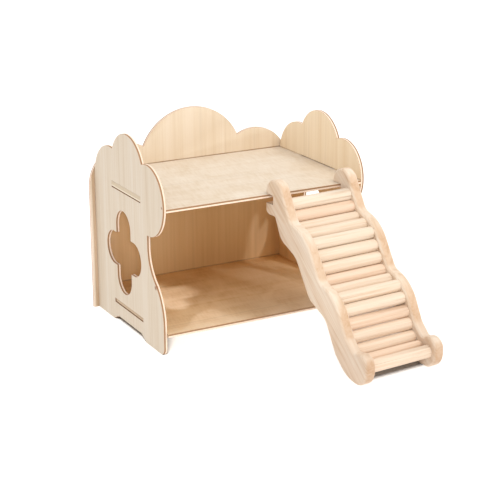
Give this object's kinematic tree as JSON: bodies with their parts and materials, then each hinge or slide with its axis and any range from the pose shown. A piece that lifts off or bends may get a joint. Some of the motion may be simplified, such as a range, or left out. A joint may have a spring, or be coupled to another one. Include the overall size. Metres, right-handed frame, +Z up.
{
  "type": "hamster house",
  "caption": "Two-storey wooden hamster house of slotted plywood panels with scalloped tops, cross-shaped windows and a wavy dowel ladder hooked on the upper deck.",
  "frame": {"origin": "on the ground under the middle of the whole part's box, ladder included", "axes": "+Z up, +Y from the open front and the ladder's foot towards the back panel, +X to the right seen from the front"},
  "size_m": [0.21, 0.2926, 0.1824],
  "materials": {
    "plywood": "bare laser-cut birch plywood, matt",
    "rail_pine": "sanded pine, matt",
    "dowel_pine": "smooth turned dowel, matt"
  },
  "bodies": {
    "house": {"left_side_panel": "plywood", "right_side_panel": "plywood", "back_panel": "plywood", "upper_deck": "plywood", "lower_floor": "plywood"},
    "ladder": {"ladder_left_rail": "rail_pine", "ladder_right_rail": "rail_pine", "rung_01": "dowel_pine", "rung_02": "dowel_pine", "rung_03": "dowel_pine", "rung_04": "dowel_pine", "rung_05": "dowel_pine", "rung_06": "dowel_pine", "rung_07": "dowel_pine", "rung_08": "dowel_pine", "rung_09": "dowel_pine", "rung_10": "dowel_pine", "rung_11": "dowel_pine", "rung_12": "dowel_pine", "rung_13": "dowel_pine", "rung_14": "dowel_pine", "rung_15": "dowel_pine", "rung_16": "dowel_pine"}
  },
  "joints": [
    {"name": "ladder_slide", "type": "slide", "parent": "house", "child": "ladder", "axis": [1, 0, 0], "range_m": [-0.098, 0.0118]}
  ]
}
